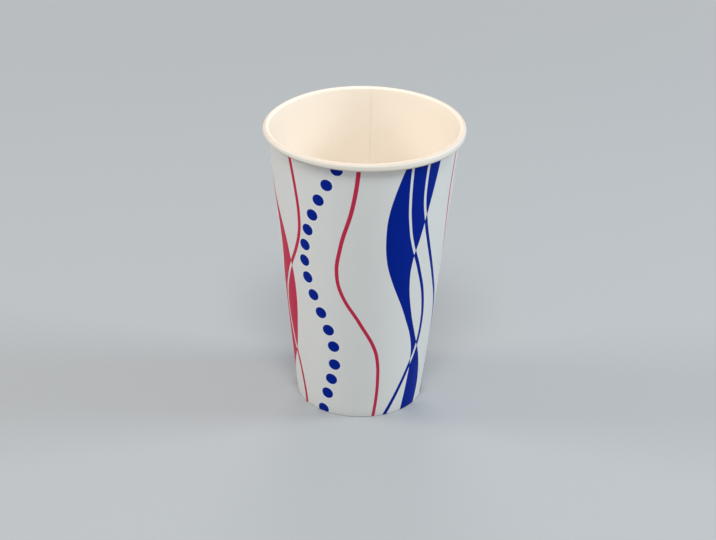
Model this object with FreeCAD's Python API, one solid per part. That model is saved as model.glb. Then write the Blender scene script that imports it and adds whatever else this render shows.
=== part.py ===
import FreeCAD, Part
import math
import os

# A single-wall paper cup, made the way a cup machine makes it from two blanks of coated board.
#   side_wall    a fan blank wrapped into a cone with a lapped seam, its top edge rolled outwards
#                into the rim and its bottom edge folded inwards and up as a hem
#   bottom_disc  a round blank whose edge is turned down as a skirt, held between wall and hem
# Millimetres and degrees. Z is the cup's axis and points up, and Z = 0 is the surface it stands on.
# The front of the cup is -Y. An angle round the cup is counted from the front towards +X.

# Overall sizes
HEIGHT = 133.0          # from the table to the crest of the rim
RIM_RADIUS = 45.0       # outermost radius of the rolled rim
BASE_RADIUS = 28.5      # the wall's outer face, carried down to the table
BOARD = 0.35            # thickness of one ply of board

# Rolled rim
CURL_WIDTH = 2.7        # from the inner face of the wall to the outermost point
CURL_HEIGHT = 3.6       # from the crest to the underside
CURL_GAP = 0.08         # air between two plies inside the roll
CURL_TUCK = 100.0       # how far the free edge turns on inside the roll

# Bottom
FLOOR_HEIGHT = 9.0      # from the table to the upper face of the bottom disc
HEM_GAP = 1.35          # from the hem's free edge up to where the disc's edge starts to bend
FOLD_RADIUS = 0.2       # the hem's fold, at the middle of the board
DISC_BEND = 0.3         # inside radius where the disc turns down into its skirt
SKIRT_GAP = 0.1         # air between the skirt's lower edge and the fold

# Side seam
SEAM_ANGLE = 189.0      # where the outer ply's cut edge lies, behind the cup
SEAM_LAP = 13.0         # angle over which the two plies lie on each other
SEAM_RAMP = 4.5         # angle over which the outer ply climbs onto the inner one
SEAM_GAP = 0.2          # how far the second ply stops short of the rim and the fold

AXIS = FreeCAD.Vector(0, 0, 1)
CENTRE = FreeCAD.Vector(0, 0, 0)


class Bend:
    """A round stretch of a bent sheet, seen in section at the middle of its thickness.

    The section lies in the XZ plane. A heading is the sheet's direction in degrees, counted from +X
    towards +Z. side is 1 where the sheet turns left and -1 where it turns right.
    """

    def __init__(self, centre, radius, side, heading_in, heading_out):
        self.centre = centre
        self.radius = radius
        self.side = side
        self.heading_in = heading_in
        self.heading_out = heading_out

    def point(self, heading, shift):
        """The point at a heading, on a face of the sheet that lies shift to the left of its middle."""
        across = self.side * self.radius - shift
        return self.centre - left_of(heading) * across

    def ends(self, shift):
        return self.point(self.heading_in, shift), self.point(self.heading_out, shift)


def in_section(radius, height):
    return FreeCAD.Vector(radius, 0, height)


def along(heading):
    angle = math.radians(heading)
    return FreeCAD.Vector(math.cos(angle), 0, math.sin(angle))


def left_of(heading):
    return along(heading + 90)


def free_end(place, heading):
    """A cut edge of a sheet: a bend of no radius and no turn."""
    return Bend(place, 0, 1, heading, heading)


def face_edges(bends, shift):
    """The edges of one face of a bent sheet: an arc for each bend, joined by straight runs."""
    edges = []
    reached = None
    for bend in bends:
        start, end = bend.ends(shift)
        if reached is not None:
            edges.append(Part.LineSegment(reached, start).toShape())
        if bend.heading_in != bend.heading_out:
            middle = bend.point((bend.heading_in + bend.heading_out) / 2, shift)
            edges.append(Part.Arc(start, middle, end).toShape())
        reached = end
    return edges


def board_section(bends):
    """The section of a bent sheet of board: its two faces, closed by its two cut edges."""
    half = BOARD / 2
    first, last = bends[0], bends[-1]
    edges = face_edges(bends, half) + face_edges(bends, -half)
    edges.append(Part.LineSegment(first.ends(half)[0], first.ends(-half)[0]).toShape())
    edges.append(Part.LineSegment(last.ends(half)[1], last.ends(-half)[1]).toShape())
    return Part.Face(Part.Wire(Part.__sortEdges__(edges)))


# The wall's line in section. Its outer face starts at BASE_RADIUS on the table, and its middle is
# tangent to the roll's upper arc, whose centre is half a curl inside the crest and the rim's edge.
ROLL_RADIUS = (CURL_WIDTH - BOARD) / 2
ROLL_CENTRE = in_section(RIM_RADIUS - CURL_WIDTH / 2, HEIGHT - CURL_WIDTH / 2)
FOOT = in_section(BASE_RADIUS, 0)

# The disc turns down round DISC_BEND, and the hem ends below that bend.
BEND_RADIUS = DISC_BEND + BOARD / 2
BEND_HEIGHT = FLOOR_HEIGHT - BOARD / 2 - BEND_RADIUS
HEM_HEIGHT = BEND_HEIGHT - HEM_GAP


def wall_lean():
    """The angle between the wall and the axis, from that tangency."""
    rise = ROLL_CENTRE - FOOT
    slant = math.degrees(math.atan2(rise.z, rise.x))
    return math.degrees(math.acos((ROLL_RADIUS - BOARD / 2) / rise.Length)) - slant


LEAN = wall_lean()
UP_WALL = 90 - LEAN
DOWN_WALL = -90 - LEAN
OUTWARD = along(-LEAN)
PLY_ACROSS = BOARD / math.cos(math.radians(LEAN))    # one ply, measured level instead of square


def on_wall(height, plies):
    """The point at a height on a line beside the wall: 0 is its outer face, 1 is one ply further in."""
    radius = BASE_RADIUS + height * math.tan(math.radians(LEAN)) - plies * PLY_ACROSS
    return in_section(radius, height)


def rim_bends():
    """The roll: over the crest, down its outer side, back under to the wall and up inside itself."""
    pitch = BOARD + CURL_GAP
    crest = Bend(ROLL_CENTRE, ROLL_RADIUS, -1, UP_WALL, -90)
    # The under arc runs from the rim's upright outer side to a line one pitch outside the wall.
    corner = in_section(RIM_RADIUS - BOARD / 2, HEIGHT - CURL_HEIGHT + BOARD / 2)
    room = (corner - FOOT).dot(OUTWARD) + BOARD / 2 - pitch
    lean = math.radians(LEAN)
    under_radius = room / (1 + math.cos(lean) + math.sin(lean))
    under_centre = corner + FreeCAD.Vector(-under_radius, 0, under_radius)
    under = Bend(under_centre, under_radius, -1, -90, UP_WALL - 360)
    tuck = Bend(ROLL_CENTRE, ROLL_RADIUS - pitch, -1, UP_WALL - 360, UP_WALL - 360 - CURL_TUCK)
    return [crest, under, tuck]


def hem_bends():
    """The hem: from its free edge down, round a flat-footed fold and up into the wall.

    The hem's middle lies two plies inside the wall's, with the skirt between them.
    """
    level = BOARD / 2 + FOLD_RADIUS
    inset = FOLD_RADIUS / math.cos(math.radians(LEAN))
    edge = free_end(on_wall(HEM_HEIGHT, 2.5), DOWN_WALL)
    inner_centre = on_wall(level, 2.5) + FreeCAD.Vector(inset, 0, 0)
    outer_centre = on_wall(level, 0.5) - FreeCAD.Vector(inset, 0, 0)
    inner = Bend(inner_centre, FOLD_RADIUS, 1, DOWN_WALL, 0)
    outer = Bend(outer_centre, FOLD_RADIUS, 1, 0, UP_WALL)
    return [edge, inner, outer]


def level_sector(height, corners):
    """A level outline at a height: corners of (angle, radius), joined by straight lines."""
    points = []
    for angle, radius in corners:
        turn = math.radians(angle)
        points.append(FreeCAD.Vector(radius * math.sin(turn), -radius * math.cos(turn), height))
    return Part.makePolygon(points + points[:1])


def seam_wedge(low, high, corners_at):
    """A solid between two heights whose level outline is corners_at(height)."""
    outlines = [level_sector(height, corners_at(height)) for height in (low, high)]
    return Part.makeLoft(outlines, True, True)


def add_seam(wall):
    """Laps the wall on itself.

    Over the lap a second ply lies outside the first, and ends in a cut edge at SEAM_ANGLE. Before the
    lap the outer ply is a single one that climbs by its own thickness, which leaves the inner ply's
    cut edge showing inside the cup.
    """
    lap_start = SEAM_ANGLE - SEAM_LAP
    ramp_start = lap_start - SEAM_RAMP
    outer_low = BOARD + FOLD_RADIUS + SEAM_GAP
    inner_low = FLOOR_HEIGHT + SEAM_GAP
    high = HEIGHT - CURL_HEIGHT - SEAM_GAP
    sunk = PLY_ACROSS / 2

    corners = [on_wall(outer_low, 0.5), on_wall(outer_low, -1), on_wall(high, -1), on_wall(high, 0.5)]
    ply = Part.Face(Part.makePolygon(corners + corners[:1]))
    ply.rotate(CENTRE, AXIS, lap_start - 90)
    second_ply = ply.revolve(CENTRE, AXIS, SEAM_LAP)

    def climb(height):
        outer = on_wall(height, 0).x
        return [
            (ramp_start, outer),
            (lap_start, outer + PLY_ACROSS),
            (lap_start, outer - sunk),
            (ramp_start, outer - sunk),
        ]

    def hollow(height):
        inner = on_wall(height, 1).x
        return [
            (ramp_start, inner),
            (lap_start, inner + PLY_ACROSS),
            (lap_start, inner - sunk),
            (ramp_start, inner - sunk),
        ]

    wall = wall.fuse([second_ply, seam_wedge(outer_low, high, climb)])
    wall = wall.cut(seam_wedge(inner_low, high, hollow))
    return wall.removeSplitter()


def side_wall():
    section = board_section(hem_bends() + rim_bends())
    return add_seam(section.revolve(CENTRE, AXIS, 360))


def bottom_disc():
    """The disc's skirt is the middle one of the three plies round the foot of the cup."""
    inset = BEND_RADIUS / math.cos(math.radians(LEAN))
    bend_centre = on_wall(BEND_HEIGHT, 1.5) - FreeCAD.Vector(inset, 0, 0)
    skirt_low = BOARD + SKIRT_GAP
    bends = [
        free_end(in_section(0, FLOOR_HEIGHT - BOARD / 2), 0),
        Bend(bend_centre, BEND_RADIUS, -1, 0, DOWN_WALL),
        free_end(on_wall(skirt_low, 1.5), DOWN_WALL),
    ]
    return board_section(bends).revolve(CENTRE, AXIS, 360)


def save(name, shape):
    """Writes one piece, which has to be a single sound solid."""
    solids = shape.Solids
    if len(solids) != 1 or not solids[0].isValid():
        raise ValueError(name + " isn't one sound solid")
    solids[0].exportStep("parts/" + name + ".step")
    print(name, round(solids[0].Volume, 1), "mm3")


os.makedirs("parts", exist_ok=True)
save("side_wall", side_wall())
save("bottom_disc", bottom_disc())
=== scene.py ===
import math

import bpy
import numpy as np
from mathutils import Matrix, Vector


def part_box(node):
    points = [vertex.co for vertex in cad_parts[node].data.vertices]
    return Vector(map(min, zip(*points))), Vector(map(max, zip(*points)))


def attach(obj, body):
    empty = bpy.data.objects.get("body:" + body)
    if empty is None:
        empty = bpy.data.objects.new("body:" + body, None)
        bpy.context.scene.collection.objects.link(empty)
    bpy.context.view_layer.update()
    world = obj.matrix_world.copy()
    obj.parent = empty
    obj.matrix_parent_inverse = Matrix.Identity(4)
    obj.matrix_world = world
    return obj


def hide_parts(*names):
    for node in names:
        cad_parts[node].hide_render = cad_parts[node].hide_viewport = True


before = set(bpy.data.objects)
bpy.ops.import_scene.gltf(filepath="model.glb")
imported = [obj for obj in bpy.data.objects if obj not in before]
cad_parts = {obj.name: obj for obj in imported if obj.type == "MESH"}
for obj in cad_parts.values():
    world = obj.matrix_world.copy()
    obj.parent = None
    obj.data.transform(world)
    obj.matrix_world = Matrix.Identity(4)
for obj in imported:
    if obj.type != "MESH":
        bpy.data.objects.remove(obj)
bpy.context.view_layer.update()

# A paper cup made from two blanks of coated board: a fan blank, printed on one side, wrapped into a
# cone with a lapped seam, its top edge rolled out into the rim and its foot folded up as a hem, and
# a plain round blank for the bottom. Lengths are millimetres until a mesh or a lamp is filled in.
# An angle round the cup is in degrees from the front (-Y) towards +X, and a heading is the board's
# direction in a section through the axis, in degrees from outwards towards upwards.
MM = 0.001

# ---------------------------------------------------------------- sizes, as the frame has them
WALL_LOW, WALL_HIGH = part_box("side_wall")
BOARD = 0.35                # one ply of board
HEIGHT = WALL_HIGH.z / MM
RIM_RADIUS = min(-WALL_LOW.x, WALL_HIGH.x) / MM
FLOOR_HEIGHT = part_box("bottom_disc")[1].z / MM
BASE_RADIUS = 28.5          # the wall's outer face, carried down to the table
CURL_WIDTH = 2.7
CURL_HEIGHT = 3.6
CURL_GAP = 0.08
CURL_TUCK = 100.0
HEM_GAP = 1.35
FOLD_RADIUS = 0.2
DISC_BEND = 0.3
SKIRT_GAP = 0.1
SEAM_ANGLE = 189.0          # where the outer ply's cut edge lies, behind the cup
LAP_START = 176.0           # where the inner ply's cut edge lies
RAMP_START = 171.5          # where the outer ply starts to climb onto the inner one

# ---------------------------------------------------------------- how the board really lies
# A pair after a name is the stretch over which something grows from nothing to its whole, or fades.
# It is in shares of the cup's height unless its comment says otherwise.
LAP_AIR = 0.012             # between the two plies of the seam
STEP_INSIDE = 0.4           # the share of a ply that stands up at the seam, inside the cup
STEP_OUTSIDE = 0.8          # and outside it
STEP_GROWS = 0.5, 5.0       # heights over which the seam leaves the foot's tools, in millimetres
STEP_FADES = 3.0            # how far below the roll the rim's tools start to press the seam
STEP_IN_ROLL = 0.25         # how much of the steps is left in the roll
RIM_OVAL = 0.16             # how far the rim is squeezed from front to back
WALL_BULGE = 0.25           # how far the wall's sides stand out of their true cone
BULGE_GROWS = 0, 0.3
BULGE_FADES = 0.9, 0.97
DENT_ANGLE = -110.0         # where the rim is bent a little down and in
DENT_DOWN = 0.95
DENT_IN = 0.35
DENT_POWER = 8              # the higher, the narrower the dent
RIM_SWAY = 0.06             # how far the rest of the rim is out of level
SWAY_WAVES = (2, 0.9), (3, 2.6)    # waves round the cup and start
RIM_GROWS = 0.5, 1.0        # where the dent and the sway come in
ROLL_SWAY = 0.5             # by how much the roll is taller on one side and lower on the other
RIPPLE = 0.02               # the wall's unevenness
RIPPLE_WAVES = (3, 4.1, 0.7), (5, -6.3, 2.0), (8, 9.0, 4.4)    # waves round the cup, drift and start
RIPPLE_GROWS = 0.08, 0.3
RIPPLE_FADES = 0.9, 1.0
KNURLS = 90                 # ridges pressed into the hem
KNURL_DEPTH = 0.13
KNURL_GROWS = 1.0, 1.8      # heights above the fold, in millimetres
KNURL_FADES = 0.7           # how far below the hem's free edge they start to fade
DISC_SAG = 0.25
DISC_PUCKER = 0.03
PUCKERS = 36                # how many there are round the disc
PUCKER_GROWS = 0.82, 1.0    # shares of the way from the disc's middle to its bend


def along(heading):
    """The unit vector (outwards, upwards) at a heading: its cosine and its sine."""
    angle = np.radians(heading)
    return np.stack([np.cos(angle), np.sin(angle)], axis=-1)


def smooth_step(low, high, value):
    """0 below low, 1 above high, and 3s^2 - 2s^3 of the share s of the way between them."""
    share = np.clip((value - low) / (high - low), 0, 1)
    return share * share * (3 - 2 * share)


# The wall's middle is tangent to the roll's upper arc, which gives its lean.
ROLL_RADIUS = (CURL_WIDTH - BOARD) / 2
ROLL_CENTRE = np.array([RIM_RADIUS - CURL_WIDTH / 2, HEIGHT - CURL_WIDTH / 2])
FOOT = np.array([BASE_RADIUS, 0.0])
RISE = ROLL_CENTRE - FOOT
CREST_RADIUS = ROLL_CENTRE[0]
LEAN = math.degrees(math.acos((ROLL_RADIUS - BOARD / 2) / math.hypot(*RISE)) - math.atan2(RISE[1], RISE[0]))
UP_WALL = 90 - LEAN
DOWN_WALL = -90 - LEAN
COS_LEAN = math.cos(math.radians(LEAN))
PLY_ACROSS = BOARD / COS_LEAN
BEND_RADIUS = DISC_BEND + BOARD / 2
BEND_HEIGHT = FLOOR_HEIGHT - BOARD / 2 - BEND_RADIUS
HEM_HEIGHT = BEND_HEIGHT - HEM_GAP


def on_wall(height, plies):
    """The point at a height on a line beside the wall: 0 is its outer face, 1 is a ply further in."""
    return np.array([BASE_RADIUS + height * math.tan(math.radians(LEAN)) - plies * PLY_ACROSS, height])


# ---------------------------------------------------------------- sections through the board
KNURL_COLUMNS = 5           # columns of the wall's mesh for each knurl
STEP_BESIDE = 0.03          # degrees from a step of the seam to the column on either side of it
STEP_CLEAR = 0.25           # and to the next column, at the least


def free_end(place, heading):
    """One row of a section: its place (outwards, upwards) and the board's heading there."""
    return np.array([[*place, heading]])


def bend(centre, radius, side, heading_in, heading_out, rows):
    """Rows round a bend: the centre, less side times radius times the heading turned left.

    side is 1 where the board turns left and -1 where it turns right.
    """
    heading = np.linspace(heading_in, heading_out, rows)
    place = centre - side * radius * along(heading + 90)
    return np.column_stack([place, heading])


def run(before, after, rows):
    """Rows spread evenly between the last row before and the first row after, without those two."""
    share = np.linspace(0, 1, rows + 2)[1:-1, None]
    return before[-1] * (1 - share) + after[0] * share


def wall_section():
    """The side wall's rows, from the hem's free edge to the free edge inside the roll, and how much of
    the seam's steps each row has, from 0 to 1: the tools that press the foot and the rim flatten them."""
    level = BOARD / 2 + FOLD_RADIUS
    inset = np.array([FOLD_RADIUS / COS_LEAN, 0])
    edge = free_end(on_wall(HEM_HEIGHT, 2.5), DOWN_WALL)
    fold_in = bend(on_wall(level, 2.5) + inset, FOLD_RADIUS, 1, DOWN_WALL, 0, rows=6)
    fold_out = bend(on_wall(level, 0.5) - inset, FOLD_RADIUS, 1, 0, UP_WALL, rows=6)

    pitch = BOARD + CURL_GAP
    corner = np.array([RIM_RADIUS - BOARD / 2, HEIGHT - CURL_HEIGHT + BOARD / 2])
    room = (corner - FOOT) @ along(-LEAN) + BOARD / 2 - pitch
    under_radius = room / (1 + COS_LEAN + math.sin(math.radians(LEAN)))
    under_centre = corner + np.array([-under_radius, under_radius])
    rolled = UP_WALL - 360
    crest = bend(ROLL_CENTRE, ROLL_RADIUS, -1, UP_WALL, -90, rows=20)
    under = bend(under_centre, under_radius, -1, -90, rolled, rows=15)
    tuck = bend(ROLL_CENTRE, ROLL_RADIUS - pitch, -1, rolled, rolled - CURL_TUCK, rows=7)

    foot = np.concatenate([edge, run(edge, fold_in, rows=7), fold_in, fold_out])
    wall = run(fold_out, crest, rows=28)
    rim = np.concatenate([crest, under, tuck])
    rows = np.concatenate([foot, wall, rim])
    height = wall[:, 1]
    below_rim = HEIGHT - CURL_HEIGHT
    pressed = (1 - STEP_IN_ROLL) * smooth_step(below_rim - STEP_FADES, below_rim, height)
    free = smooth_step(*STEP_GROWS, height) * (1 - pressed)
    return rows, np.concatenate([np.zeros(len(foot)), free, np.full(len(rim), STEP_IN_ROLL)])


def seam_columns():
    """Angles round the blank, from the inner ply's cut edge to the outer ply's, a full turn and a lap
    further on. Where the other ply's edge steps the board, two columns lie close together."""
    first, last = LAP_START, 360 + SEAM_ANGLE
    steps = np.array([SEAM_ANGLE, 360 + LAP_START])
    even = np.linspace(first, last, KNURL_COLUMNS * round(KNURLS * (last - first) / 360) + 1)
    even = even[np.abs(even[:, None] - steps).min(axis=1) > STEP_CLEAR]
    return np.sort(np.concatenate([even, steps - STEP_BESIDE, steps + STEP_BESIDE]))


# ---------------------------------------------------------------- unevenness, the same for every ply
def dented(angle, height):
    """The dent's share: a high power of a cosine round the cup, fading out down the wall."""
    near = (1 + np.cos(np.radians(angle - DENT_ANGLE))) / 2
    return near ** DENT_POWER * smooth_step(*RIM_GROWS, height / HEIGHT)


def sideways(angle, height):
    """How far the board lies outside its true cone, or inside it where this is negative.

    An oval squeeze grows with height, the sides bulge between the foot and the rim, and a ripple of
    three waves round the cup drifts as it climbs. The rim itself never moves outwards.
    """
    turn = np.radians(angle)
    share = np.clip(height / HEIGHT, 0, 1)
    oval = RIM_OVAL * share ** 2 * (1 + np.cos(2 * turn)) / 2
    bulge = WALL_BULGE * (1 - np.cos(2 * turn)) / 2 * smooth_step(*BULGE_GROWS, share)
    bulge = bulge * (1 - smooth_step(*BULGE_FADES, share))
    waves = sum(1 + np.sin(count * turn + drift * share + start) for count, drift, start in RIPPLE_WAVES)
    free = smooth_step(*RIPPLE_GROWS, share) * (1 - smooth_step(*RIPPLE_FADES, share))
    ripple = RIPPLE * free * waves / len(RIPPLE_WAVES)
    return bulge - DENT_IN * dented(angle, height) - oval - ripple


def downwards(angle, height):
    """How far the board moves up, which is never above 0: the dent and two slow waves round the cup
    take the rim down, and both fade out below it."""
    turn = np.radians(angle)
    waves = sum(1 + np.cos(count * turn + start) for count, start in SWAY_WAVES) / (2 * len(SWAY_WAVES))
    return -DENT_DOWN * dented(angle, height) - RIM_SWAY * waves * smooth_step(*RIM_GROWS, height / HEIGHT)


def roll_stretch(angle, height):
    """How far the roll's outer side is pulled up, or down where this is negative: a sine round the
    cup, times the depth below the crest as a share of the roll's height."""
    return -ROLL_SWAY * np.sin(np.radians(angle)) * (HEIGHT - height) / CURL_HEIGHT


def knurl(angle, height):
    """Ridges pressed inwards into the hem: a cosine round the cup, between the fold and the edge."""
    ridge = (1 + np.cos(np.radians(angle) * KNURLS)) / 2
    top = smooth_step(HEM_HEIGHT - KNURL_FADES, HEM_HEIGHT, height)
    return -KNURL_DEPTH * ridge * smooth_step(*KNURL_GROWS, height) * (1 - top)


def turned(radius, height, angle):
    """Points in metres, from their distance from the axis, their height and their angle."""
    turn = np.radians(angle)
    return np.stack([radius * np.sin(turn), -radius * np.cos(turn), height], axis=-1) * MM


# ---------------------------------------------------------------- meshes
SHARP_ANGLE = 40            # two faces that meet at more than this have a sharp edge between them
DISC_COLUMNS = 240
# The blank laid flat: for the printed face, the plain face and the cut edges, where each starts and
# how tall it is, in shares of the map.
FLAT_LOW = 0.41, 0.06, 0.01
FLAT_TALL = 0.58, 0.33, 0.03
FLAT_MARGIN = 0.01


def quads(index):
    """The four-sided faces of a grid of vertex numbers, wound rows first."""
    low, high = index[:-1], index[1:]
    return np.stack([low[:, :-1], low[:, 1:], high[:, 1:], high[:, :-1]], axis=-1).reshape(-1, 4)


def make_object(name, points, faces, finishes, face_finish):
    """A smooth mesh object, sharp only at its real edges. face_finish is each face's finish, by number."""
    mesh = bpy.data.meshes.new(name)
    mesh.from_pydata(points.reshape(-1, 3), [], faces)
    for finish in finishes:
        mesh.materials.append(finish)
    mesh.polygons.foreach_set("material_index", np.asarray(face_finish, dtype=np.int32))
    mesh.shade_smooth()
    mesh.set_sharp_from_angle(angle=math.radians(SHARP_ANGLE))
    mesh.update()
    piece = bpy.data.objects.new(name, mesh)
    bpy.context.scene.collection.objects.link(piece)
    return piece


def side_wall(finishes):
    """The fan blank: its section carried round the cup, as a printed face and a plain face.

    Each face lies half a ply beside the section's line. Where the outer ply climbs onto the inner one
    both faces move out, each by the share of a ply that is left standing on its side of the seam.
    """
    rows, free = wall_section()
    columns = seam_columns()
    angle, heading = np.meshgrid(columns, rows[:, 2])
    radius = np.repeat(rows[:, :1], len(columns), axis=1)
    height = np.repeat(rows[:, 1:2], len(columns), axis=1)
    inside, outside = STEP_INSIDE * free[:, None], STEP_OUTSIDE * free[:, None]

    climb = smooth_step(360 + RAMP_START, 360 + LAP_START, angle) * BOARD
    printed = np.where(angle < SEAM_ANGLE, BOARD / 2 * inside, BOARD / 2 + climb * outside)
    plain = np.where(angle > 360 + LAP_START, BOARD / 2 * inside + LAP_AIR, climb * inside - BOARD / 2)
    across = along(heading - 90)
    path = np.concatenate([[0], np.cumsum(np.linalg.norm(np.diff(rows[:, :2], axis=0), axis=1))])
    hem = (path < path[np.argmin(rows[:, 1])])[:, None]
    past_crest = (path > path[np.argmax(rows[:, 1])])[:, None]

    def face(offset):
        out = radius + across[..., 0] * offset
        up = height + across[..., 1] * offset
        out = out + sideways(angle, up) + knurl(angle, up) * hem
        return turned(out, up + downwards(angle, up) + roll_stretch(angle, up) * past_crest, angle)

    front, back = face(printed), face(plain)
    index = np.arange(angle.size).reshape(angle.shape)
    rim, other = outline(index), index.size + outline(index)
    strip = np.stack([rim[1:], rim[:-1], other[:-1], other[1:]], axis=-1)
    faces = np.concatenate([quads(index), quads(index + index.size)[:, ::-1], strip])
    face_finish = np.repeat([0, 1, 2], [len(quads(index)), len(quads(index)), len(strip)])
    piece = make_object("cup_wall", np.stack([front, back]), faces, finishes, face_finish)
    lay_flat(piece, columns, path, face_finish)
    return piece


def outline(index):
    """The vertex numbers round the edge of a grid, back to where they start."""
    return np.concatenate([index[0], index[1:, -1], index[-1, -2::-1], index[-2::-1, 0]])


def lay_flat(piece, columns, path, face_finish):
    """The blank laid flat, as the piece's own map: across it goes the angle, and up it goes the
    distance along the section. The printed face has the upper part and the plain face the lower."""
    across = (columns - columns[0]) / (columns[-1] - columns[0])
    across = FLAT_MARGIN + (1 - 2 * FLAT_MARGIN) * across
    place = np.stack(np.meshgrid(across, path / path[-1]), axis=-1).reshape(-1, 2)
    mesh = piece.data
    corner = np.empty(len(mesh.loops), dtype=np.int32)
    mesh.loops.foreach_get("vertex_index", corner)
    sides = np.repeat(face_finish, 4)
    flat = place[corner % len(place)]
    flat[:, 1] = np.array(FLAT_LOW)[sides] + np.array(FLAT_TALL)[sides] * flat[:, 1]
    mesh.uv_layers.new(name="OFBake").data.foreach_set("uv", flat.ravel().astype(np.float32))


def bottom_disc(finishes):
    """The round blank: its section's two faces as one closed profile, carried round the cup.

    The flat part sags by a parabola and puckers in short waves just inside its bend.
    """
    inset = np.array([BEND_RADIUS / COS_LEAN, 0])
    turn_down = bend(on_wall(BEND_HEIGHT, 1.5) - inset, BEND_RADIUS, -1, 0, DOWN_WALL, rows=7)
    middle = free_end((0, FLOOR_HEIGHT - BOARD / 2), 0)
    edge = free_end(on_wall(BOARD + SKIRT_GAP, 1.5), DOWN_WALL)
    flat_part, skirt = run(middle, turn_down, rows=24), run(turn_down, edge, rows=4)
    rows = np.concatenate([middle, flat_part, turn_down, skirt, edge])
    shift = along(rows[:, 2] + 90) * BOARD / 2
    profile = np.concatenate([rows[:, :2] + shift, (rows[:, :2] - shift)[::-1]])
    ends, rings = profile[[0, -1]], profile[1:-1]

    columns = np.linspace(0, 360, DISC_COLUMNS, endpoint=False)
    angle = np.repeat(columns[None, :], len(rings), axis=0)
    radius = np.repeat(rings[:, :1], len(columns), axis=1)
    height = np.repeat(rings[:, 1:], len(columns), axis=1)
    flat = smooth_step(BEND_HEIGHT, FLOOR_HEIGHT - BOARD, height)
    reach = radius / turn_down[0, 0]
    waves = (1 + np.sin(np.radians(angle) * PUCKERS)) / 2
    pucker = DISC_PUCKER * waves * smooth_step(*PUCKER_GROWS, reach)
    height = height - flat * (DISC_SAG * np.clip(1 - reach ** 2, 0, 1) + pucker)
    ends = ends - np.array([0, DISC_SAG])

    points = np.concatenate([turned(radius, height, angle).reshape(-1, 3), turned(ends[:, 0], ends[:, 1], 0)])
    index = np.arange(angle.size).reshape(angle.shape)
    ring = np.concatenate([index, index[:, :1]], axis=1)
    sides = quads(ring)[:, ::-1]
    top, bottom = angle.size, angle.size + 1
    fan_top = [(top, a, b) for a, b in zip(ring[0, :-1], ring[0, 1:])]
    fan_bottom = [(bottom, b, a) for a, b in zip(ring[-1, :-1], ring[-1, 1:])]
    faces = [*sides.tolist(), *fan_top, *fan_bottom]
    return make_object("cup_bottom", points, faces, finishes, np.zeros(len(faces)))


# ---------------------------------------------------------------- shader expressions
class Finish:
    """A material or a world being built. Its add method makes any node and gives back one of its
    outputs."""

    def __init__(self, made):
        made.use_nodes = True
        self.made = made
        self.tree = made.node_tree
        self.tree.nodes.clear()

    def add(self, kind, settings=None, inputs=None, output=0):
        """Adds a node. settings are its own properties, or points for a curve. inputs maps a socket's
        name or number to a value or to another node's Output."""
        node = self.tree.nodes.new(kind)
        for key, value in (settings or {}).items():
            if key == "points":
                set_points(node.mapping, value)
            else:
                setattr(node, key, value)
        for key, value in (inputs or {}).items():
            if isinstance(value, Output):
                self.tree.links.new(value.socket, node.inputs[key])
            else:
                node.inputs[key].default_value = value
        return Output(self, node.outputs[output]) if node.outputs else node


class Output:
    """A node's output socket. Arithmetic on it adds Math nodes."""

    def __init__(self, finish, socket):
        self.finish = finish
        self.socket = socket

    def maths(self, operation, *values):
        inputs = dict(enumerate(values))
        return self.finish.add("ShaderNodeMath", {"operation": operation}, inputs)

    def __add__(self, other):
        return self.maths("ADD", self, other)

    def __sub__(self, other):
        return self.maths("SUBTRACT", self, other)

    def __rsub__(self, other):
        return self.maths("SUBTRACT", other, self)

    def __mul__(self, other):
        return self.maths("MULTIPLY", self, other)

    def __truediv__(self, other):
        return self.maths("DIVIDE", self, other)

    def __abs__(self):
        return self.maths("ABSOLUTE", self)

    def __lt__(self, other):
        return self.maths("LESS_THAN", self, other)

    __radd__ = __add__

    def wrapped(self, period):
        """The value brought to within half a period of 0."""
        return self.maths("WRAP", self, period / 2, -period / 2)

    def nearest(self):
        return self.maths("ROUND", self)

    def root(self):
        return self.maths("SQRT", self)

    def clamped(self):
        return self.finish.add("ShaderNodeClamp", {}, {0: self})

    def share_of(self, low, high):
        """How far the value is from low to high, from 0 to 1."""
        return ((self - low) / (high - low)).clamped()

    def larger(self, other):
        return self.maths("MAXIMUM", self, other)

    def smaller(self, other):
        return self.maths("MINIMUM", self, other)


def set_points(mapping, points):
    """Gives a Float Curve its points, with smooth handles."""
    curve = mapping.curves[0]
    while len(curve.points) < len(points):
        curve.points.new(0, 0)
    for knot, place in zip(curve.points, points):
        knot.location = place
        knot.handle_type = "AUTO"
    mapping.update()


def linear(red, green, blue):
    """A colour from 0 to 255, taken through the sRGB curve to linear red, green, blue and alpha."""
    shares = np.array([red, green, blue]) / 255
    low, high = shares / 12.92, ((shares + 0.055) / 1.055) ** 2.4
    return (*np.where(shares <= 0.04045, low, high).tolist(), 1.0)


def blend_colours(finish, share, first, second):
    """first where share is 0 and second where it is 1."""
    settings = {"data_type": "RGBA"}
    return finish.add("ShaderNodeMix", settings, {0: share, 6: first, 7: second}, output=2)


def mottled(finish, share, colour, depth):
    """The colour where share is 1, and darker by depth of itself where share is 0."""
    darker = tuple(channel * (1 - depth) for channel in colour[:3]) + (1.0,)
    return blend_colours(finish, share.clamped(), darker, colour)


def noise(finish, place, size, detail=2.0, stretch=(1, 1, 1)):
    """Soft noise from 0 to 1, whose blotches are about size millimetres across."""
    grain = [1 / (MM * size * axis) for axis in stretch]
    scaled = finish.add("ShaderNodeVectorMath", {"operation": "MULTIPLY"}, {0: place, 1: grain})
    return finish.add("ShaderNodeTexNoise", {}, {"Vector": scaled, "Scale": 1.0, "Detail": detail})


def from_axis(finish, place):
    """Millimetres from the cup's axis."""
    level = finish.add("ShaderNodeVectorMath", {"operation": "MULTIPLY"}, {0: place, 1: (1, 1, 0)})
    return finish.add("ShaderNodeVectorMath", {"operation": "LENGTH"}, {0: level}, output="Value") / MM


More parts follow.
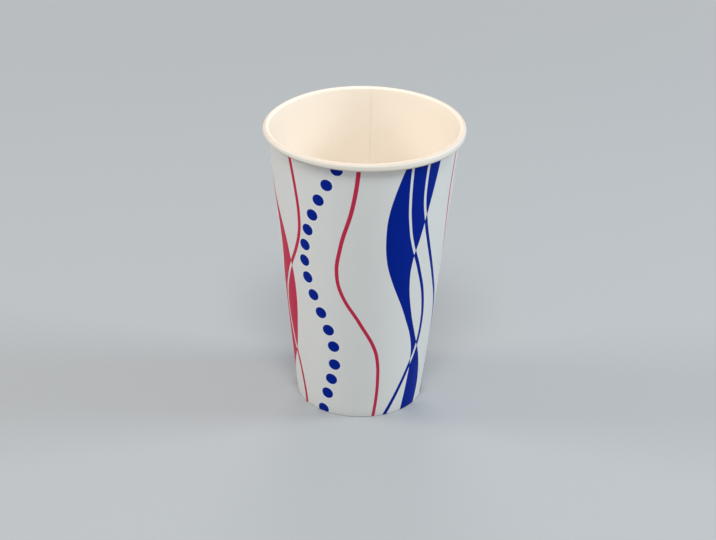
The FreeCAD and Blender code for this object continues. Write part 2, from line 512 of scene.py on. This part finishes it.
def bump(finish, height, distance, normal=None):
    """A bump whose full height is distance millimetres."""
    inputs = {"Strength": 1.0, "Distance": distance * MM, "Height": height}
    if normal is not None:
        inputs["Normal"] = normal
    return finish.add("ShaderNodeBump", {}, inputs)


# ---------------------------------------------------------------- the print
EDGE = 0.12                 # how soft the edge of an ink is
SPREAD = 0.12               # how far an ink creeps past its outline
WANDER = 0.08               # how far that edge wanders, all told
WANDER_SIZE = 0.5           # and over what length
MOTIF = 180.0               # the print repeats twice round the cup
OVERRUN = 0.8               # by how much it misses a full turn, which shows as a break at the seam
DOT_RADIUS = 2.68
DOT_PITCH = 8.3
DOT_FIRST = 128.5           # the topmost dot, half hidden by the rim
DOT_GAPS = {32.4: 1.4, 6.3: 1.2}    # heights where the pitch is wider, and by how much
THREAD_WIDTH = 1.55
NAVY_STRAY_WIDTH = 1.6
RED_STRAY_WIDTH = 1.2
WAVE_WIDTH = 1.2            # the red wave's at the foot
WAVE_WIDENS = 0.004         # and how much wider it gets for each millimetre up

# Outlines as (height, angle), from the foot up.
DOT_STRING = [(0, -35), (11, -29), (19, -24.7), (28, -21.2), (37, -21.5), (46, -25.8), (62, -37),
              (71, -41.6), (79, -43.1), (87, -41.6), (104, -33.6), (120, -22.8), (133, -12)]
RED_WAVE = [(0, 13), (10, 15), (20, 15.5), (30, 14.4), (37, 11.5), (51, -0.6), (66, -14.3), (76, -17.4),
            (90, -14.4), (110, -6.5), (133, -2.3)]
NAVY_LEFT = [(0, 41.4), (17, 45.8), (27, 46.6), (36, 44.8), (52, 35.3), (75, 20.5), (84, 17.1),
             (97, 15.9), (106, 16.9), (118, 21), (133, 28.4)]
NAVY_RIGHT = [(0, 60), (9, 62.8), (18, 61.2), (27, 57), (40, 48), (54, 40.6), (70, 36.3), (80, 37),
              (92, 41.7), (110, 47.4), (133, 53.4)]
NAVY_THREAD = [(0, 24), (10, 33.8), (23, 44.8), (33, 51.8), (44, 54.7), (58, 52.3), (76, 43.3),
               (90, 35.5), (100, 32.3), (112, 30.6), (133, 30.8)]
NAVY_STRAY = [(0, 80), (20, 84), (36, 81.5), (50, 75), (69, 61.3), (92, 48.1), (101, 44.6), (108, 42.4),
              (118, 41.6), (133, 43.1)]
RED_LEFT = [(0, -95), (11, -86.5), (18, -81), (26, -80.3), (36, -80.8), (48, -80.2), (58, -79), (66, -76.3),
            (74, -73.4), (83, -73), (91, -74.6), (97, -77), (104, -81.5), (112, -87.5), (133, -96)]
RED_RIGHT = [(0, -92), (11, -82.5), (17, -75.6), (22, -70), (28, -64.4), (34, -61.5), (40, -59.6), (50, -57),
             (60, -56.2), (68, -57.2), (76, -59.8), (88, -65), (97, -71.7), (110, -82), (133, -91)]
RED_THREAD = [(0, -56.5), (6, -57), (19, -61.2), (24, -63.6), (29, -67), (36, -70.6), (46, -74), (54, -72.8),
              (66, -64.8), (74, -58.2), (83, -50.9), (92, -46.3), (100, -45.1), (112, -46.1), (133, -50.9)]
RED_STRAY = [(0, 88), (30, 94), (60, 90), (80, 79.5), (93, 75), (103, 72.6), (113, 72.2), (122, 73.2),
             (133, 76)]


class Print:
    """The print on the board's outer face. Each shape is a depth: millimetres inside its outline,
    and negative outside it. inked turns a depth into the share of ink, from 0 to 1."""

    def __init__(self, finish, place):
        x, y, z = (finish.add("ShaderNodeSeparateXYZ", {}, {0: place}, output=n) / MM for n in range(3))
        self.finish = finish
        self.height = z
        self.radius = from_axis(finish, place)
        turn = x.maths("ARCTAN2", x, y * -1) * (180 / math.pi)
        seam = SEAM_ANGLE - 180
        self.angle = ((turn - seam).wrapped(360) + seam) * (1 + OVERRUN / 360)
        self.wander = (noise(finish, place, WANDER_SIZE) - 0.5) * WANDER

    def outline(self, knots, height=None):
        """The angle of an outline at a height, smooth through its knots. The curve itself runs from
        0 to 1 and holds the height as a share of the last knot's, and half a turn plus the angle."""
        points = [(level / knots[-1][0], angle / 360 + 0.5) for level, angle in knots]
        share = (height or self.height) / knots[-1][0]
        curve = self.finish.add("ShaderNodeFloatCurve", {"points": points}, {"Value": share})
        return (curve - 0.5) * 360

    def sideways_from(self, angle):
        """Millimetres round the cup from an angle, taken to the nearest repeat of the motif."""
        return (self.angle - angle).wrapped(MOTIF) * self.radius * (math.pi / 180)

    def inked(self, depth):
        """1 inside the outline and the ink's spread, 0 outside, and soft across the edge."""
        return ((depth + self.wander + SPREAD) / EDGE + 0.5).clamped()

    def ribbon(self, left, right):
        """Between two outlines: half the width, less the distance from the middle."""
        start, end = self.outline(left), self.outline(right)
        half = (end - start) * self.radius * (math.pi / 360)
        return half - abs(self.sideways_from((start + end) / 2))

    def thread(self, knots, width):
        """A line of even width: the distance round the cup is shortened by the line's own slope."""
        angle = self.outline(knots)
        slope = (self.outline(knots, self.height + 1) - angle) * self.radius * (math.pi / 180)
        distance = abs(self.sideways_from(angle)) / (slope * slope + 1).root()
        return width / 2 - distance

    def dots(self, knots):
        """Discs along an outline, at an even pitch in height apart from the wider gaps."""
        shift = sum((self.height < level) * wider for level, wider in DOT_GAPS.items())
        count = ((DOT_FIRST - self.height - shift) / DOT_PITCH).nearest()
        centre = DOT_FIRST - count * DOT_PITCH - shift
        side = self.sideways_from(self.outline(knots, centre))
        up = self.height - centre
        return DOT_RADIUS - (side * side + up * up).root()


def either(first, second):
    """Inside just one of the two outlines: each shape turns white where it crosses the other."""
    return first.smaller(second * -1).larger(second.smaller(first * -1))


# ---------------------------------------------------------------- finishes
PAPER_WHITE = linear(244, 246, 245)
PAPER_PLAIN = linear(254, 243, 229)
# The crest's colour is painted shade: darker than the plain face, to keep the highlight on the crest below
# white.
CREST_PAINTED_SHADE = linear(233, 214, 197)
# The roll's outer side is painted light: paler than the plain face, where the roll catches less light.
ROLL_PAINTED_LIGHT = linear(253, 250, 240)
NAVY_INK = linear(0, 39, 158)
RED_INK = linear(218, 54, 90)
CUT_FIBRE = linear(232, 222, 204)
CLOUD_SHARE, FIBRE_SHARE = 0.6, 0.4     # what makes up the board's faint tone
GLOSS_VARIES = 0.12         # how far the fibres change the roughness
INK_MOTTLE = 0.12           # how much darker an ink is where it lies thickest
INK_SMOOTHS = 0.08          # how much less rough the board is under ink
# Distances past the crest of the rim, in millimetres, over which the rolled board takes on painted shade at
# the crest and then painted light on the roll's outer side.
CREST_SHADE_SPAN = -0.96, -0.16
ROLL_LIGHT_SPAN = 0.63, 1.33


def board_finish(name, colour, roughness, colour_grain):
    """What all the board has: a faint cloudiness in its colour, fibres, and a satin coat over them.

    The clouds are 9 mm across, the fibres 0.45 mm and over twice as long up the cup, and the felt's
    marks 2.2 mm. The felt's marks and the fibres are hundredths of a millimetre deep.
    """
    finish = Finish(bpy.data.materials.new(name))
    place = finish.add("ShaderNodeTexCoord", output=3)
    cloud = noise(finish, place, size=9, detail=3.0)
    fibre = noise(finish, place, size=0.45, detail=4.0, stretch=(1, 1, 2.5))
    tone = mottled(finish, cloud * CLOUD_SHARE + fibre * FIBRE_SHARE, colour, colour_grain)
    felt = bump(finish, noise(finish, place, size=2.2, detail=2.0), distance=0.012)
    normal = bump(finish, fibre, distance=0.006, normal=felt)
    gloss = roughness + (fibre - 0.5) * GLOSS_VARIES
    return finish, place, tone, gloss, normal


def close(finish, colour, roughness, normal, **constants):
    """Ends a finish in one Principled shader. constants are values that are the same all over."""
    inputs = {"Base Color": colour, "Roughness": roughness, "Normal": normal, **constants}
    shader = finish.add("ShaderNodeBsdfPrincipled", {}, inputs)
    finish.add("ShaderNodeOutputMaterial", {}, {"Surface": shader})
    return finish.made


def printed_board():
    """White coated board with two inks, which run up to the rim's roll and on inside it."""
    finish, place, tone, gloss, normal = board_finish(
        "printed_board", PAPER_WHITE, roughness=0.5, colour_grain=0.035)
    inks = Print(finish, place)
    threads = either(inks.thread(NAVY_THREAD, THREAD_WIDTH), inks.thread(NAVY_STRAY, NAVY_STRAY_WIDTH))
    navy = inks.dots(DOT_STRING).larger(either(inks.ribbon(NAVY_LEFT, NAVY_RIGHT), threads))
    red = either(inks.ribbon(RED_LEFT, RED_RIGHT), inks.thread(RED_THREAD, THREAD_WIDTH))
    wave = inks.thread(RED_WAVE, WAVE_WIDTH + inks.height * WAVE_WIDENS)
    red = red.larger(wave).larger(inks.thread(RED_STRAY, RED_STRAY_WIDTH))
    navy, red = inks.inked(navy), inks.inked(red)
    uneven = noise(finish, place, size=0.7, detail=3.0)
    colour = blend_colours(finish, red, tone, mottled(finish, uneven, RED_INK, INK_MOTTLE))
    colour = blend_colours(finish, navy, colour, mottled(finish, uneven, NAVY_INK, INK_MOTTLE))
    gloss = gloss - (red + navy) * INK_SMOOTHS
    return close(finish, colour, gloss, normal, **{"Specular IOR Level": 0.05})


def plain_board():
    """The warm, unprinted side of the board, under a thin clear lining that smooths it. Over the crest its
    colour is painted shade, darker to keep the crest's highlight down, and past the crest it is painted
    light, paler on the roll's outer side."""
    finish, place, tone, gloss, normal = board_finish(
        "plain_board", PAPER_PLAIN, roughness=0.42, colour_grain=0.03)
    past_crest = from_axis(finish, place) - CREST_RADIUS
    # Painted shade over the crest.
    tone = blend_colours(finish, past_crest.share_of(*CREST_SHADE_SPAN), tone, CREST_PAINTED_SHADE)
    # Painted light past the crest, on the roll's outer side.
    tone = blend_colours(finish, past_crest.share_of(*ROLL_LIGHT_SPAN), tone, ROLL_PAINTED_LIGHT)
    lining = {"Specular IOR Level": 0.3, "Coat Weight": 0.06, "Coat Roughness": 0.25}
    return close(finish, tone, gloss, normal, **lining)


def cut_board():
    """A cut edge: raw fibres, darker between the layers of the board."""
    finish = Finish(bpy.data.materials.new("cut_board"))
    place = finish.add("ShaderNodeTexCoord", output=3)
    layers = noise(finish, place, size=0.12, detail=3.0, stretch=(1, 1, 6))
    tone = mottled(finish, layers, CUT_FIBRE, depth=0.15)
    return close(finish, tone, roughness=0.9, normal=bump(finish, layers, distance=0.03))


# ---------------------------------------------------------------- stage, lamps and camera
FLOOR_SHOWN = linear(177, 180, 183)
FLOOR_GIVEN = linear(150, 151, 152)
BACKDROP = linear(196, 199, 202)
FLOOR_FADES = 350, 1000     # how far from the cup the floor turns into the backdrop
FLOOR_RADIUS = 4.0          # in metres, as are the lamps' distance and size
FLOOR_SIDES = 96
FLOOR_DROP = 0.02           # how far the table lies below the foot
LAMP_DISTANCE = 1.3
LAMP_SIZE = 0.4
# Each lamp's angle from the front, its angle above the table, its power and its tint.
LAMPS = {
    "lamp_left": (-92, 34, 4.7, (1.0, 0.91, 0.83)),
    "lamp_right": (92, 34, 6.4, (0.8, 0.92, 1.0)),
    "lamp_front": (0, 60, 6.8, (0.96, 1.0, 0.99)),
    "lamp_back": (180, 45, 2.4, (1.0, 1.0, 1.0)),
}
SKY_LEVEL = 0.48

LENS = 114.2
CAMERA_TARGET = Vector((-0.00158, 0.0, 0.06055))
CAMERA_DISTANCE = 1.0335
CAMERA_HEIGHT = 26.89       # degrees above the level
CAMERA_ROLL = 1.08          # degrees about its own axis
CAMERA_NEAR = 0.05


def seen_directly(finish):
    """1 for rays from the camera and for those that a gloss or a clear thing passes on, and 0 for
    the light that a surface gives to its neighbours."""
    rays = [finish.add("ShaderNodeLightPath", output=name) for name in (
        "Is Camera Ray", "Is Glossy Ray", "Is Transmission Ray")]
    return (rays[0] + rays[1] + rays[2]).clamped()


def table_top():
    """A plain pale disc to stand on, which gives the cup less light than it shows. Well away from the
    cup it shows as the backdrop does: by 3s^2 - 2s^3 of the share s of the way through the fade."""
    finish = Finish(bpy.data.materials.new("table_top"))
    seen = seen_directly(finish)
    colour = blend_colours(finish, seen, FLOOR_GIVEN, FLOOR_SHOWN)
    near = finish.add("ShaderNodeBsdfDiffuse", {}, {"Color": colour})
    far = finish.add("ShaderNodeEmission", {}, {"Color": BACKDROP})
    share = from_axis(finish, finish.add("ShaderNodeTexCoord", output=3)).share_of(*FLOOR_FADES)
    fade = share * share * (3 - share * 2) * seen
    surface = finish.add("ShaderNodeMixShader", {}, {0: fade, 1: near, 2: far})
    finish.add("ShaderNodeOutputMaterial", {}, {"Surface": surface})
    turn = np.linspace(0, 2 * math.pi, FLOOR_SIDES, endpoint=False)
    drop = np.full(FLOOR_SIDES, -FLOOR_DROP * MM)
    points = np.stack([np.cos(turn) * FLOOR_RADIUS, np.sin(turn) * FLOOR_RADIUS, drop], axis=-1)
    table = make_object("table_top", points, [list(range(FLOOR_SIDES))], [finish.made], [0])


def sky():
    """Even light from all round, which shows as the backdrop's tone."""
    finish = Finish(bpy.data.worlds.new("sky"))
    given = (SKY_LEVEL, SKY_LEVEL, SKY_LEVEL, 1.0)
    colour = blend_colours(finish, seen_directly(finish), given, BACKDROP)
    light = finish.add("ShaderNodeBackground", {}, {"Color": colour})
    finish.add("ShaderNodeOutputWorld", {}, {"Surface": light})
    bpy.context.scene.world = finish.made


def lamps():
    """Soft square lamps aimed at the cup: one on each side, a high one in front, a weaker one behind."""
    for name, (angle, above, power, tint) in LAMPS.items():
        light = bpy.data.lights.new(name, "AREA")
        light.shape = "SQUARE"
        light.size = LAMP_SIZE
        light.energy = power
        light.color = tint
        lamp = bpy.data.objects.new(name, light)
        turn, rise = math.radians(angle), math.radians(above)
        aim = Vector((math.sin(turn) * math.cos(rise), -math.cos(turn) * math.cos(rise), math.sin(rise)))
        lamp.rotation_euler = aim.to_track_quat("Z", "Y").to_euler()
        lamp.location = aim * LAMP_DISTANCE + Vector((0, 0, HEIGHT * MM / 2))
        bpy.context.scene.collection.objects.link(lamp)


def camera():
    """A long lens, looking down at the cup from the front and turned slightly about its own axis."""
    lens = bpy.data.cameras.new("camera")
    lens.lens = LENS
    lens.clip_start = CAMERA_NEAR
    eye = bpy.data.objects.new("camera", lens)
    turn = Matrix.Rotation(math.radians(90 - CAMERA_HEIGHT), 4, "X") @ Matrix.Rotation(
        math.radians(CAMERA_ROLL), 4, "Z")
    back = turn.col[2].to_3d() * CAMERA_DISTANCE
    eye.matrix_world = Matrix.Translation(CAMERA_TARGET + back) @ turn
    bpy.context.scene.collection.objects.link(eye)
    bpy.context.scene.camera = eye


# ---------------------------------------------------------------- making it all
printed, plain, cut = printed_board(), plain_board(), cut_board()

wall = side_wall([printed, plain, cut])
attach(wall, "root")
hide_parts("side_wall")

bottom = bottom_disc([plain])
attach(bottom, "root")
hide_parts("bottom_disc")

table_top()
sky()
lamps()
camera()
bpy.context.scene.view_settings.view_transform = "Standard"
